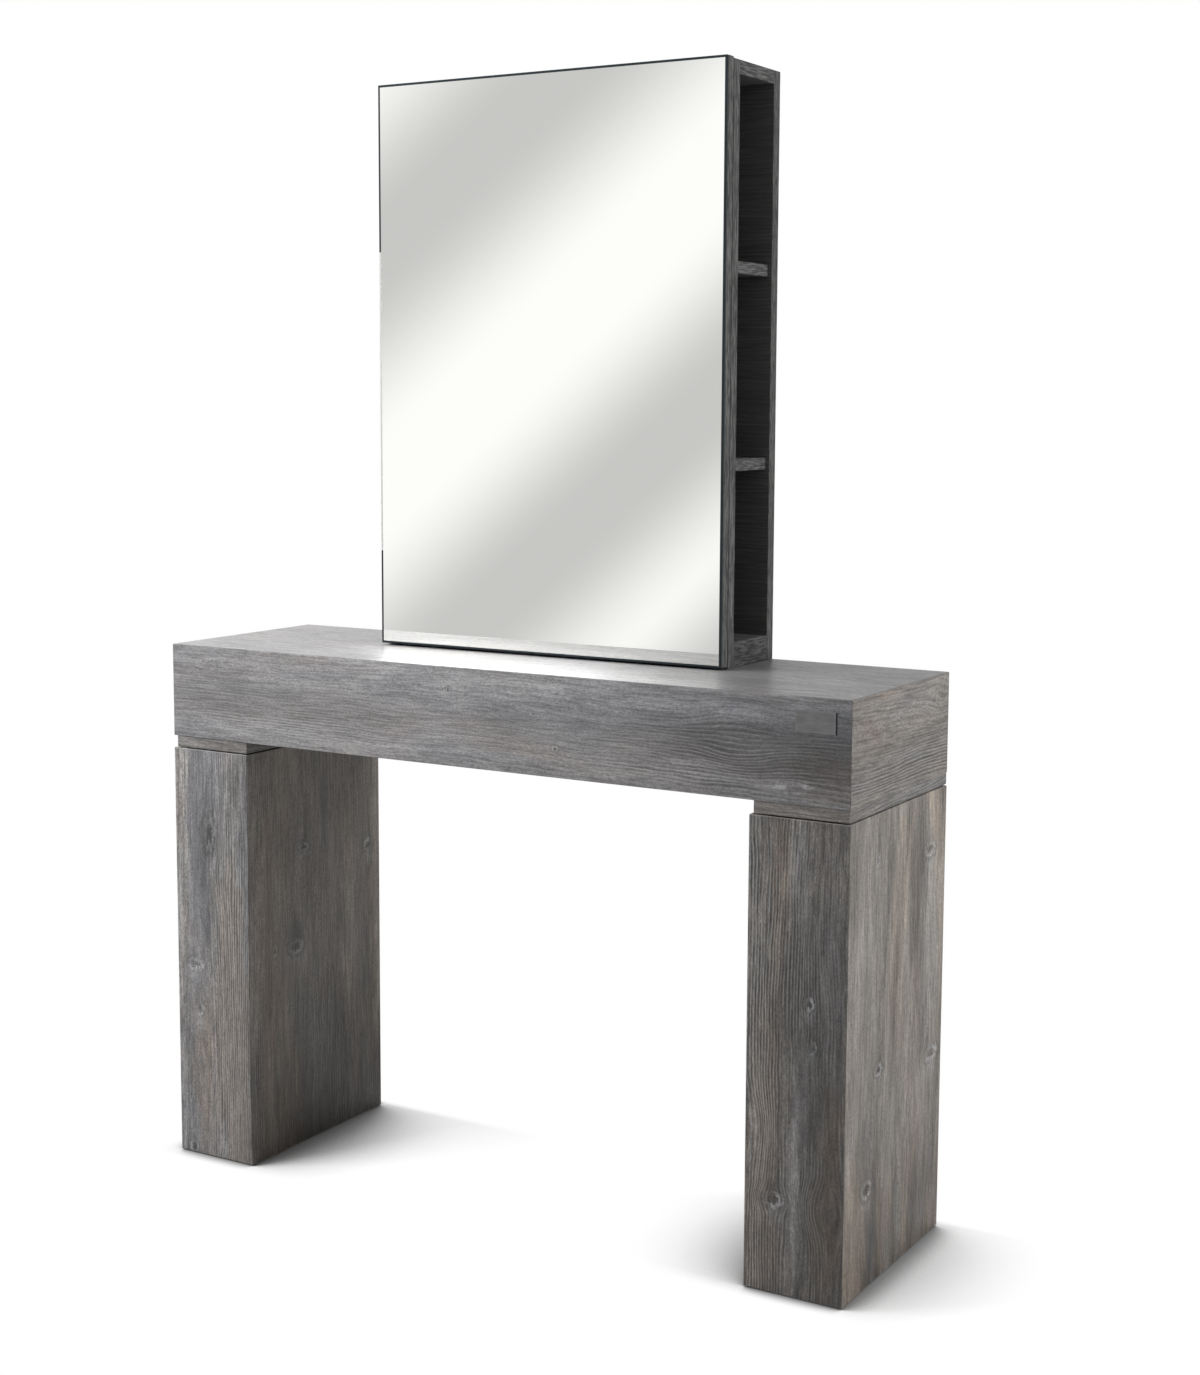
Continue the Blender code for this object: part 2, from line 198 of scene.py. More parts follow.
class NodeBench:
    """Short calls that add and join the nodes of one tree."""

    def __init__(self, tree):
        self.tree = tree

    def feed(self, socket, value):
        """Join a socket to another one, or set it."""
        if isinstance(value, Level):
            value = value.socket
        if isinstance(value, NodeSocket):
            self.tree.links.new(value, socket)
        else:
            socket.default_value = value

    def add(self, kind, *values, **settings):
        """A node with its settings, and with values for its first sockets."""
        node = self.tree.nodes.new("ShaderNode" + kind)
        for name, value in settings.items():
            setattr(node, name, value)
        for socket, value in zip(node.inputs, values):
            self.feed(socket, value)
        return node

    def put(self, node, **values):
        """The same node, with values for the sockets that are named."""
        for name, value in values.items():
            self.feed(node.inputs[name.replace("_", " ").title()], value)
        return node

    def outputs(self, node):
        """What a node gives, by the sockets' names in small letters."""
        named = {socket.name.lower().replace(" ", "_"): Level(self, socket) for socket in node.outputs}
        return SimpleNamespace(**named)

    def maths(self, operation, *values):
        return Level(self, self.add("Math", *values, operation=operation).outputs[0])

    def most(self, first, *others):
        for other in others:
            first = self.maths("MAXIMUM", first, other)
        return first

    def length_of(self, first, second):
        squares = [self.maths("POWER", abs(value), 2.0) for value in (first, second)]
        return self.maths("SQRT", squares[0] + squares[1])

    def blend(self, factor, first, second):
        return second * factor + first * (1.0 - factor)

    def place(self):
        """Where a point is, in the object's own metres."""
        return self.add("TexCoord").outputs["Object"]

    def vector(self, *values):
        return self.add("CombineXYZ", *values).outputs[0]

    def split(self, vector):
        return [Level(self, socket) for socket in self.add("SeparateXYZ", vector).outputs]

    def noise(self, place, detail=2.0, roughness=0.5):
        node = self.add("TexNoise", noise_dimensions="3D")
        self.put(node, vector=place, scale=1.0, detail=detail, roughness=roughness)
        return self.outputs(node).fac

    def speckle(self, rate, detail):
        """Even noise with so many waves a metre."""
        return self.noise(self.tinted(self.place(), rate), detail)

    def mix(self, factor, first, second, blend="MIX"):
        node = self.add("Mix", factor, data_type="RGBA", blend_type=blend)
        for socket, tone in zip(node.inputs[6:8], (first, second)):
            self.feed(socket, tone if isinstance(tone, NodeSocket) else (*tone, 1.0))
        return node.outputs[2]

    def tinted(self, tint, factor):
        """A colour made lighter or darker by a factor."""
        return self.put(self.add("VectorMath", tint, operation="SCALE"), scale=factor).outputs[0]

    def use(self, group, **values):
        return self.outputs(self.put(self.add("Group", node_tree=group), **values))

    def relief(self, shader, height, depth, strength):
        bump = self.put(self.add("Bump"), strength=strength, distance=depth, height=height)
        self.put(shader, normal=bump.outputs["Normal"])


def new_node_group(name, inputs, results):
    """An empty node group, with its bench, what it is given and its last node.

    The sockets are listed by name, with a colon before the kind of those that aren't plain numbers.
    """
    group = bpy.data.node_groups.new(name, "ShaderNodeTree")
    for in_out, listed in (("INPUT", inputs), ("OUTPUT", results)):
        for entry in listed.split():
            socket, _, kind = entry.partition(":")
            title = socket.replace("_", " ").title()
            group.interface.new_socket(title, in_out=in_out, socket_type="NodeSocket" + (kind or "Float"))
    bench = NodeBench(group)
    given = bench.outputs(group.nodes.new("NodeGroupInput"))
    return group, bench, given, group.nodes.new("NodeGroupOutput")


def new_finish(name):
    """A material with its bench and its shader."""
    finish = bpy.data.materials.new(name)
    finish.use_nodes = True
    tree = finish.node_tree
    return finish, NodeBench(tree), tree.nodes["Principled BSDF"]


def dress(node, finish):
    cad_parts[node].material_slots[0].material = finish


class Knot(NamedTuple):
    """A knot, by its place from the board's middle, its radius, its length over its width and its looks."""

    along: float
    across: float
    radius: float
    stretch: float = 1.6
    eye: float = 0.8
    smear: float = 0.6
    pull: float = 0.4


class StainAndShade(NamedTuple):
    """A soft patch along the grain: its place and half sizes, then how brown, light and ridged it is. Most
    patches are the wood's own stains; some are painted light and shade.
    """

    along: float
    across: float
    length: float
    width: float
    brown: float = 0.0
    light: float = 0.0
    ridged: float = 0.0


class PineBoard(NamedTuple):
    """A pine board's grain: two axes, the pith that its rings go round, its finish, knots, and stains with
    some patches of painted light and shade.
    """

    along: str
    across: str
    pith_across: float
    pith_depth: float
    pith_tilt: float
    tone: float = 1.0
    warmth: float = 0.5
    brush: float = 0.6
    gloss: float = 0.0
    streaks: float = 1.2
    knots: tuple = ()
    stains: tuple = ()


# Values of a board that go into its finish as they are
PINE_LOOKS = ("pith_across", "pith_depth", "pith_tilt", "tone", "warmth", "brush", "gloss", "streaks")
# How far apart the noise of one board and the next one is
SEED_STEP = 3.7
# Boards that show in the photograph. The rows are their knots and then their stains, where it shows them.
# Some stains are painted light and shade where the light falls off across the station, and the right leg's
# front has a low tone that is partly painted shade
PINE_IN_VIEW = {
    "front_fascia": PineBoard("X", "Z", -0.16, 0.03, 0.03, 1.11, 0.0, 0.42, 0.0, 0.9, (
        (-0.0565, 0.04, 0.005, 0.6, 0.7, -0.6), (0.1322, -0.032, 0.004, 1.2, 0.8, 1.2),
        (0.4264, 0.011, 0.022, 1.6, 0.0, 0.0, 0.5), (0.5158, -0.0515, 0.007, 3.0, 0.0, 0.9),
    ), (
        (-0.08, 0.064, 0.7, 0.03, 0.0, 0.3), (-0.3, -0.057, 0.3, 0.018, 0.0, 0.2),
        (-0.32, 0.028, 0.14, 0.02, 0.0, 0.14), (-0.49, -0.066, 0.08, 0.012, 0.4),
        (-0.47, -0.018, 0.12, 0.02, 0.0, -0.18), (-0.25, 0.066, 0.24, 0.012, 0.2),
        # The first patch in the next row lightens the fascia's middle: partly painted light
        (0.02, 0.0, 0.32, 0.14, 0.0, 0.14), (-0.05, 0.0, 0.05, 0.1, 0.0, 0.1),
        (-0.3, -0.04, 0.26, 0.03, 0.0, 0.0, 0.45), (0.38, -0.03, 0.22, 0.05, 0.0, -0.04, 0.25),
        (0.26, 0.055, 0.08, 0.02, 0.0, 0.2), (0.0, -0.03, 0.2, 0.035, -0.4, 0.08),
        (0.19, -0.03, 0.1, 0.03, -0.4), (0.43, 0.045, 0.06, 0.01, -0.3, 0.3),
        (0.37, -0.031, 0.06, 0.006, 0.0, 0.3), (0.31, -0.05, 0.13, 0.012, 0.0, 0.26, 0.6),
        (0.58, -0.01, 0.07, 0.09, 0.5, -0.18), (0.46, 0.063, 0.06, 0.012, 0.3, -0.22),
        # The first patch in the next row darkens the fascia's right end: partly painted shade, partly the
        # wood's own darker end
        (0.485, -0.005, 0.235, 0.064, 0.0, -0.5), (-0.16, -0.02, 0.08, 0.03, 0.0, -0.12),
    )),
    "worktop_board": PineBoard("X", "Y", -0.3, 0.04, 0.02, 0.86, 0.1, 0.3, 0.2, 1.0, (), (
        # Painted shade: this patch darkens the worktop's right end
        (0.54, -0.02, 0.3, 0.3, 0.0, -0.2),
    )),
    "right_end_panel": PineBoard("Y", "Z", -0.16, 0.06, 0.06, 0.97, 0.75, 0.55, 0.0, 1.6, (
        (0.135, 0.045, 0.018, 2.0, 0.0, 0.2, 0.6),
    ), (
        (0.02, -0.045, 0.2, 0.024, 0.4, -0.16, 0.9), (-0.05, 0.02, 0.1, 0.02, -0.4, 0.06),
        (0.0, 0.052, 0.22, 0.034, -1.0, 0.1),
    )),
    "left_leg_front_panel": PineBoard("Z", "X", 0.19, 0.02, 0.03, 1.04, 0.4, 0.8, 0.0, 1.6, (
        (0.2033, -0.005, 0.011, 2.2, 1.0, 0.15, 0.6), (-0.0187, -0.0405, 0.017, 0.5, 0.25, 1.2),
        (-0.0933, -0.0314, 0.008, 1.3, 0.4, 0.8), (-0.33, -0.048, 0.008, 1.2, 0.9, 0.6),
    ), (
        (-0.1, 0.042, 0.34, 0.036, 1.9, 0.0, 1.0), (0.0, 0.062, 0.6, 0.04, 0.2, -0.24),
        (-0.1, -0.054, 0.5, 0.034, -0.6, 0.26), (-0.02, -0.034, 0.48, 0.036, -1.0, 0.0, -0.8),
        (0.26, -0.02, 0.1, 0.06, -1.0, -0.06), (-0.2, -0.035, 0.06, 0.02, 1.4, 0.05),
        (0.3, -0.05, 0.06, 0.03, 0.0, 0.14), (-0.3, -0.05, 0.07, 0.03, 0.0, 0.18),
        (0.15, -0.015, 0.13, 0.03, -0.3, -0.26), (0.02, -0.03, 0.07, 0.012, 0.3, 0.16),
        (-0.1, -0.04, 0.05, 0.012, 0.4, 0.1), (-0.3, 0.01, 0.08, 0.07, 0.2, 0.06),
    )),
    "left_leg_inner_panel": PineBoard("Z", "Y", 0.42, 0.04, 0.04, 1.13, 1.0, 0.4, 0.0, 2.0, (
        (0.1644, -0.0331, 0.011, 0.6, 0.8, 0.7), (0.1373, 0.1427, 0.01, 1.0, 0.5, -0.9),
        (0.0, -0.056, 0.016, 0.7, 0.8, 0.8), (0.005, -0.111, 0.006, 1.6, 0.5, 0.5),
    ), (
        (0.04, -0.1, 0.34, 0.08, 0.6, 0.1), (0.02, 0.09, 0.32, 0.026, 0.6),
        (-0.04, -0.06, 0.16, 0.024, -0.5, -0.12), (0.22, 0.02, 0.12, 0.03, -0.5),
        (-0.05, 0.13, 0.18, 0.024, -0.5, -0.1), (0.03, -0.055, 0.04, 0.02, -0.5, -0.2),
        # The last patch in the next row darkens the foot of this side: painted shade, with a brown tint
        (0.3, 0.02, 0.07, 0.28, 0.0, 0.15), (-0.37, 0.05, 0.36, 0.26, 0.8, -0.8),
    )),
    # This front's low tone is partly painted shade, where the light from the key softbox falls off
    "right_leg_front_panel": PineBoard("Z", "X", -0.26, 0.03, -0.02, 0.68, 0.72, 0.85, 0.0, 2.4, (
        (0.0837, 0.0193, 0.006, 1.4, 0.8, 1.0), (0.0225, 0.0249, 0.006, 1.4, 0.2, 0.5),
        (-0.2043, -0.0311, 0.013, 0.85, 0.8, 0.8, 0.6), (-0.113, -0.076, 0.018, 2.0, 0.1, 0.2, 0.6),
        (-0.208, 0.056, 0.02, 1.2, 0.25, 0.0, 0.7),
    ), (
        (0.0, -0.058, 0.4, 0.03, 0.0, 0.38, 0.9), (-0.04, -0.03, 0.34, 0.018, 0.6),
        (0.06, -0.048, 0.08, 0.04, 0.2, -0.36), (-0.02, 0.054, 0.5, 0.042, 0.5, -0.36, -0.3),
        (-0.11, 0.054, 0.06, 0.02, 0.3, 0.2), (0.24, -0.025, 0.13, 0.018, 1.0, 0.3),
        (0.17, 0.048, 0.1, 0.022, 0.5), (0.28, 0.002, 0.09, 0.016, -0.8, 0.4),
        (0.1, 0.0, 0.09, 0.03, 0.1, -0.34), (-0.05, 0.008, 0.1, 0.015, -1.2, 0.75, -1.0),
        (-0.2, 0.0, 0.14, 0.011, -1.2, 1.0, -0.8), (-0.18, 0.026, 0.16, 0.012, 0.6, -0.16),
        (-0.21, -0.058, 0.18, 0.026, 1.0, 0.06), (-0.26, 0.048, 0.14, 0.035, 0.8),
        (-0.31, 0.01, 0.08, 0.1, 0.5, -0.12), (-0.08, 0.05, 0.1, 0.025, 0.3, -0.06),
    )),
    "right_leg_outer_panel": PineBoard("Z", "Y", -0.43, 0.04, 0.03, 1.13, 1.0, 0.45, 0.0, 3.2, (
        (0.2543, 0.1148, 0.017, 0.6, 0.8, 1.2), (-0.0298, -0.0635, 0.012, 0.65, 0.9, 0.9),
        (-0.0588, 0.1331, 0.02, 0.5, 0.5, 1.2), (-0.1937, -0.098, 0.015, 0.8, 1.0, 0.9),
        (0.2732, -0.0782, 0.006, 1.5, 0.4, 0.8),
    ), (
        # The first patch in the next row lightens the top of this side: painted light
        (0.22, 0.02, 0.22, 0.28, 0.0, 0.27), (0.24, -0.1, 0.12, 0.034, -0.3, 0.1),
        (0.12, 0.015, 0.2, 0.06, 0.3), (0.12, 0.042, 0.26, 0.03, -0.3, 0.24),
        (0.06, 0.125, 0.32, 0.04, -0.8, 0.2), (-0.24, -0.145, 0.14, 0.024, 0.6),
        # The last patch in the next row darkens the foot of this side: painted shade, with a brown tint
        (-0.13, -0.1, 0.05, 0.02, -0.8, -0.2), (-0.3, 0.0, 0.16, 0.26, 0.8, -0.26),
        (-0.26, 0.08, 0.06, 0.014, -0.4, -0.25),
    )),
}
KNOTS_OUT_OF_VIEW = 3


def scattered_knots(node, along, across):
    """A few knots for a board that the photograph doesn't show, always at the same places."""
    low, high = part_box(node)
    reach = (high - low) / 2
    dice = Random(node)
    knots = []
    for _ in range(KNOTS_OUT_OF_VIEW):
        knots.append(Knot(
            dice.uniform(-0.85, 0.85) * reach["XYZ".index(along)],
            dice.uniform(-0.8, 0.8) * reach["XYZ".index(across)],
            dice.uniform(0.006, 0.010),
            dice.uniform(1.1, 1.8),
            dice.uniform(0.4, 0.8),
            dice.uniform(0.4, 0.8) * dice.choice((-1, 1)),
        ))
    return tuple(knots)


def pine_boards():
    """Every pine board of the station with its grain."""
    boards = dict(PINE_IN_VIEW)
    plain = {
        "left_end_panel": ("Y", "Z"),
        "beam_back_panel": ("X", "Z"),
        "beam_bottom_board": ("X", "Y"),
    }
    for side in SIDES:
        plain[f"{side}_leg_rib"] = ("Y", "Z")
        plain[f"{side}_tower_rib"] = ("Y", "Z")
        for face in ("front", "back"):
            plain[f"{side}_leg_{face}_panel"] = ("Z", "X")
        for face in ("outer", "inner"):
            plain[f"{side}_leg_{face}_panel"] = ("Z", "Y")
        plain[f"{side}_leg_top_board"] = ("Y", "X")
        plain[f"{side}_leg_base_board"] = ("Y", "X")
    for node, (along, across) in plain.items():
        if node not in boards:
            dice = Random("pith of " + node)
            pith = dice.uniform(0.16, 0.36) * dice.choice((-1, 1))
            tilt = dice.uniform(-0.05, 0.05)
            boards[node] = PineBoard(along, across, pith, 0.03, tilt,
                                     knots=scattered_knots(node, along, across))
    for side in SIDES:
        boards[f"{side}_neck_board"] = PineBoard("XY", "Z", -0.200, 0.02, 0.02, 0.9, 0.5, 0.6)
    return boards


def build_knot_group():
    """One knot: lines part round it, with a dark heart, a pale broken outline and a shadow above it."""
    group, bench, given, results = new_node_group(
        "pine_knot", "grain:Vector dark pale along across radius stretch eye smear pull",
        "grain:Vector dark pale")
    along, across, _ = bench.split(given.grain)
    off_across = across - given.across
    wide = off_across / given.radius
    far = (along - given.along) / (given.radius * given.stretch)
    seed = given.along * 90.0
    wobble = bench.noise(bench.vector(far * 2.0, wide * 2.4, seed), 4.0, 0.75) * 2.2 - 1.1
    fleck = bench.noise(bench.vector(far, wide * 5.0, seed), 2.0, 0.6).span(0.28, 0.52)
    reach = bench.length_of(far, wide) + wobble
    heart = reach.span(0.75, 0.35) * 0.9
    outline = reach.span(1.05, 1.35) * reach.span(1.9, 1.45) * 0.45
    beside = abs(wide + wobble).span(1.5, 0.1)
    shadow = beside * far.span(0.2, 1.2) * far.span(4.5, 1.2) * 0.35
    dark = bench.most(heart, outline, shadow) * given.eye
    to_side = bench.maths("SIGN", given.smear) * (wide - far * 0.5)
    halo = reach.span(0.55, 0.80) * reach.span(1.45, 0.95) * to_side.span(-0.9, 0.5, 0.25, 1.0)
    tail = beside * far.span(-0.6, -1.2) * far.span(-4.0, -1.4) * 0.45
    pale = bench.most(halo, tail) * abs(given.smear) * fleck
    near = bench.length_of(far * 0.48, wide * 0.42)
    parted = across - off_across * near.span(1.3, 0.0) * given.pull
    bench.put(results, grain=bench.vector(along, parted, 0.0), dark=bench.most(given.dark, dark),
              pale=bench.most(given.pale, pale))
    return group


def build_stain_and_shade_group():
    """One patch with frayed ends that adds to a board's brownness, lightness and ridges. Most patches are
    the wood's own stains; some are painted light and shade.
    """
    group, bench, given, results = new_node_group(
        "pine_stain", "grain:Vector change:Vector along across length width brown light ridged",
        "change:Vector")
    along, across, _ = bench.split(given.grain)
    far = (along - given.along) / given.length
    wide = (across - given.across) / given.width
    seed = given.along * 31.0 + given.across * 170.0
    frayed = bench.noise(bench.vector(along * 7.0, across * 70.0, seed), 3.0, 0.6) * 0.8 - 0.4
    patch = (bench.length_of(far, wide) + frayed).span(1.3, 0.3)
    effect = bench.tinted(bench.vector(given.brown, given.light, given.ridged), patch)
    bench.put(results, change=bench.add("VectorMath", given.change, effect, operation="ADD").outputs[0])
    return group


def build_pine_group(tones):
    """Streaks, lines, pores and tints of weathered pine, from metres along and across a board."""
    group, bench, given, results = new_node_group(
        "weathered_pine", "grain:Vector dark pale change:Vector seed " + " ".join(PINE_LOOKS),
        "colour:Color roughness height")
    along, across, _ = bench.split(given.grain)
    stain_brown, stain_and_painted_lightness, stain_ridged = bench.split(given.change)
    brush = given.brush

    def strands(along_rate, across_rate, shift, side=across, detail=2.0, roughness=0.5):
        """Noise drawn out along the grain, with so many waves a metre each way."""
        depth = across * 9.0 + (given.seed + shift)
        return bench.noise(bench.vector(along * along_rate, side * across_rate, depth), detail, roughness)

    wander = strands(2.2, 5.0, 1.0, detail=1.0) * 0.036 - 0.018
    ripple = strands(10.0, 30.0, 2.0, detail=1.0) * 0.005 - 0.0025
    bent = across + wander + ripple
    ring = bench.length_of(bent - given.pith_across, given.pith_depth + along * given.pith_tilt)

    streak = strands(2.5, 16.0, 3.0, ring, 4.0, 0.7)
    mottle = strands(10.0, 30.0, 4.0, bent, 3.0, 0.6)
    tint = strands(2.0, 11.0, 5.0, ring, 1.0) + (mottle * 0.4 - 0.2) + stain_brown * 0.16
    line = strands(14.0, 250.0, 6.0, ring, 2.0, 0.7).span(0.36, 0.64)
    tick = strands(80.0, 400.0, 7.0, ring, 2.0, 0.7).span(0.36, 0.64)
    speck = strands(260.0, 520.0, 11.0, bent, 1.0)
    pore = strands(110.0, 900.0, 8.0, ring, 1.0).span(0.58, 0.72)
    fibre = strands(90.0, 1500.0, 9.0, bent, 1.0)
    furrow = strands(30.0, 120.0, 13.0, ring, 1.0)
    waver = strands(14.0, 50.0, 12.0, ring)
    beat = bench.maths("FRACT", ring * 215.0 + mottle * 0.6 + waver * 1.2)
    patch = strands(4.0, 26.0, 10.0, ring).span(0.40, 0.60)
    ridged = bench.maths("MINIMUM", bench.most(patch * brush * 0.7 + stain_ridged, 0.0), 1.0)
    calm = stain_ridged.span(-1.0, 0.0, 0.3, 1.0)
    crest = beat.span(0.45, 0.75) * beat.span(1.0, 0.85) * tick.swing(0.35) * ridged
    groove = beat.span(0.40, 0.15) * ridged

    tinting = abs(stain_brown) + 0.32
    base = bench.mix(tint.span(0.50, 0.66) * tinting, tones.pine_grey, tones.pine_brown, "MULTIPLY")
    base = bench.mix(tint.span(0.50, 0.36) * tinting, base, tones.pine_slate, "MULTIPLY")
    base = bench.mix(given.warmth, base, tones.pine_warm, "MULTIPLY")
    # The tone and the patches' lightness are partly painted light and shade, where the light falls off
    # across the station
    shade = given.tone * (stain_and_painted_lightness + 1.0) * mottle.swing(0.30) * fibre.swing(0.20)
    shade *= (streak - 0.5) * given.streaks + 1.0
    shade *= (speck - 0.5) * (brush * 0.8 + 0.8) + 1.0
    shade *= (line - 0.5) * brush * calm * 0.85 + 1.0
    shade *= (tick - 0.5) * brush * calm * 0.35 + 1.0
    shade *= (furrow - 0.5) * brush * brush * 1.3 + 1.0
    shade *= (groove * -0.35 + 1.0) * (pore * -0.35 + 1.03)
    crested = bench.mix(crest * 0.6, bench.tinted(base, shade), tones.pine_bleached)
    scar = bench.tinted(tones.pine_scar, tick.swing(0.25) * speck.swing(0.5))
    smeared = bench.mix(given.pale * 0.85, crested, scar)
    knotted = bench.mix(given.dark * 0.92, smeared, tones.pine_knot)

    # Painted highlight: the chamfers along a board's edges, where the normal leans off the board's axes, are
    # mixed towards the bleached tone
    normal = bench.split(bench.add("NewGeometry").outputs["Normal"])
    squareness = bench.most(*(abs(part) for part in normal))
    highlit_chamfers = bench.mix(squareness.span(0.95, 0.75) * 0.35, knotted, tones.pine_bleached)
    bench.put(results, colour=highlit_chamfers, roughness=line * -0.10 + pore * 0.15 + 0.60 - given.gloss,
              height=line * 0.5 + crest * 0.5 - pore * 0.5 - given.dark * 0.5)
    return group


def board_grain(bench, node, along, across):
    """Metres along and across the grain from a board's middle. The lines go on over the board's edges."""
    low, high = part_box(node)
    mapping = bench.add("Mapping", vector_type="POINT")
    bench.put(mapping, vector=bench.place(), location=-(low + high) / 2)
    axes = dict(zip("XYZ", bench.split(mapping.outputs["Vector"])))
    run = axes[along[0]]
    for axis in along[1:]:
        run = run + axes[axis]
    side = axes[across]
    for number, axis in enumerate("XYZ"):
        if axis not in along + across:
            side = side + abs(axes[axis]) + (low - high)[number] / 2
    return bench.vector(run, side, 0.0)


def pine_finish(node, board, seed, pine, knot_group, stain_and_shade_group):
    finish, bench, shader = new_finish("pine_" + node)
    grain = board_grain(bench, node, board.along, board.across)
    change = (0.0, 0.0, 0.0)
    for stain_and_shade in board.stains:
        change = bench.use(stain_and_shade_group, grain=grain, change=change, **StainAndShade(*stain_and_shade)._asdict()).change
    dark = 0.0
    pale = 0.0
    for knot in board.knots:
        made = bench.use(knot_group, grain=grain, dark=dark, pale=pale, **Knot(*knot)._asdict())
        grain, dark, pale = made.grain, made.dark, made.pale
    looks = {name: getattr(board, name) for name in PINE_LOOKS}
    made = bench.use(pine, grain=grain, dark=dark, pale=pale, change=change, seed=seed, **looks)
    bench.put(shader, base_color=made.colour, roughness=made.roughness)
    bench.relief(shader, made.height, 0.0005, 0.6)
    return finish


class STATION_OT_dress_pine(Operator):
    """Give every pine board its own weathered grain and knots"""

    bl_idname = "station.dress_pine"
    bl_label = "Dress Pine Boards"

    def execute(self, context):
        groups = (build_pine_group(context.scene.station_colours), build_knot_group(), build_stain_and_shade_group())
        for number, (node, board) in enumerate(pine_boards().items()):
            dress(node, pine_finish(node, board, SEED_STEP * number, *groups))
        return {"FINISHED"}


OAK_PANELS = ("mirror_backing_board", "tower_front_panel", "tower_rear_panel", "tower_divider")
OAK_CROSS_BOARDS = ("tower_top_board", "tower_base_board", "left_shelf_1", "left_shelf_2",
                    "right_shelf_1", "right_shelf_2")
OAK_TONES = {"tower_base_board": 0.62, "tower_rear_panel": 0.85}


def oak_finish(node, upright, tones):
    """Near-black oak with thin pale lines on its faces, and a paler band with ticks on its end edges,
    darkened by painted shadow along the seam at the front panel's front face.
    """
    finish, bench, shader = new_finish("oak_" + node)
    x, y, z = bench.split(bench.place())
    edge = abs(bench.split(bench.add("NewGeometry").outputs["Normal"])[0]).span(0.55, 0.75)
    band = (z, y) if upright else (y, z)
    seed = Random(node).uniform(0.0, 50.0)

    def strands(along, across, along_rate, across_rate, shift, detail=2.0):
        place = bench.vector(along * along_rate, across * across_rate, seed + shift)
        return bench.noise(place, detail, 0.6)

    wave = strands(x, z, 9.0, 24.0, 0.0, 1.0) * 0.012 - 0.006
    level = z + wave + y * 0.4
    face_line = strands(x, level, 7.0, 380.0, 1.0).span(0.42, 0.66)
    face_shade = strands(x, level, 3.0, 40.0, 2.0).swing(0.30) * (face_line * 0.45 + 0.8)
    tick = strands(*band, 45.0, 420.0, 4.0).span(0.40, 0.60)
    # Painted shadow: the edge bands darken within about two millimetres of the seam at the front panel's
    # front face
    seam_shadow = abs(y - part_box("tower_front_panel")[0].y).span(0.0006, 0.0022, 0.2, 1.0)
    band_shade = strands(*band, 9.0, 180.0, 3.0).swing(0.75) * (tick + 0.5) * seam_shadow
    band_shade *= OAK_TONES.get(node, 1.0)
    tone = bench.mix(edge, bench.tinted(tones.oak_face, face_shade),
                     bench.tinted(tones.oak_edge, band_shade))
    bench.put(shader, base_color=tone, roughness=tick * -0.12 + 0.66)
    bench.relief(shader, face_line * 0.6 + tick * 0.4, 0.0003, 0.5)
    return finish


class STATION_OT_dress_oak(Operator):
    """Give the tower's boards their dark oak faces and paler edge bands"""

    bl_idname = "station.dress_oak"
    bl_label = "Dress Oak Boards"

    def execute(self, context):
        for node in (*OAK_PANELS, *OAK_CROSS_BOARDS):
            dress(node, oak_finish(node, node in OAK_PANELS, context.scene.station_colours))
        return {"FINISHED"}


# A face with a normal as near to -Y as this looks at the client
FACING = 0.999
# Faces that meet at less than this are shaded as one
SMOOTH_LIMIT = radians(35)
# Points of a wound thread that are nearer than this are one point
WELD = 0.00001
# The parts of one fastener stop this short of each other
SEAM = 0.0001
# The fasteners' heads from below up, and their shanks, in shares of a head's radius
SCREW_HEAD = ((0.48, -0.80), (1.0, -0.80), (1.0, -0.32), (0.86, -0.10), (0.50, -0.01), (0.25, 0.0))
SCREW_SHANK = 0.6
BOLT_HEAD = ((0.40, -0.625), (1.0, -0.625), (1.0, -0.24), (0.80, -0.08), (0.62, 0.0))
BOLT_SHANK = 0.5
BOLT_CHAMFER = 0.0004
FASTENER_ROWS = {"leg_bolt": CORNERS, "tower_screw": ("front", "rear"), "mirror_screw": ("low", "high")}
# The plate's pale rim fades between these distances from its edge
RIM_INSIDE = 0.0028
RIM_OUTSIDE = 0.0012
# A foot pad from the floor up: shares of its radius, and heights
PAD_OUTLINE = ((0.72, 0.0), (0.90, 0.0004), (0.965, 0.0016), (0.965, 0.0070),
               (0.90, 0.0085), (0.64, 0.0098), (0.62, 0.0113), (0.58, 0.0117))
FLUTE_LOW = 0.003
FLUTE_HIGH = 0.006
STEM_RADIUS = 0.004
STEM_LOW = 0.0110


def start_modelling():
    """Leave edit mode with nothing selected."""
    if bpy.context.object and bpy.context.object.mode != "OBJECT":
        bpy.ops.object.mode_set(mode="OBJECT")
    bpy.ops.object.select_all(action="DESELECT")


def select_all():
    bpy.ops.mesh.select_all(action="SELECT")


def name_and_edit(name):
    """Name the piece just added, put its size and place into its mesh, and edit all of it."""
    piece = bpy.context.object
    piece.name = name
    piece.data.name = name
    bpy.ops.object.transform_apply(location=True, rotation=True, scale=True)
    bpy.ops.object.mode_set(mode="EDIT")
    select_all()
    return piece


def select_faces(piece, wanted):
    """In edit mode, select only the faces whose middle and normal pass a test."""
    bpy.context.tool_settings.mesh_select_mode = (False, False, True)
    bpy.ops.mesh.select_all(action="DESELECT")
    shape = bmesh.from_edit_mesh(piece.data)
    for face in shape.faces:
        face.select_set(wanted(face.calc_center_median(), face.normal))
    bmesh.update_edit_mesh(piece.data)


def faces_client(middle, normal):
    return normal.y < -FACING


def add_block(name, low, high):
    """A block between two corners, in edit mode and all selected."""
    start_modelling()
    bpy.ops.mesh.primitive_cube_add(size=1.0, location=(low + high) / 2)
    bpy.context.object.scale = high - low
    return name_and_edit(name)


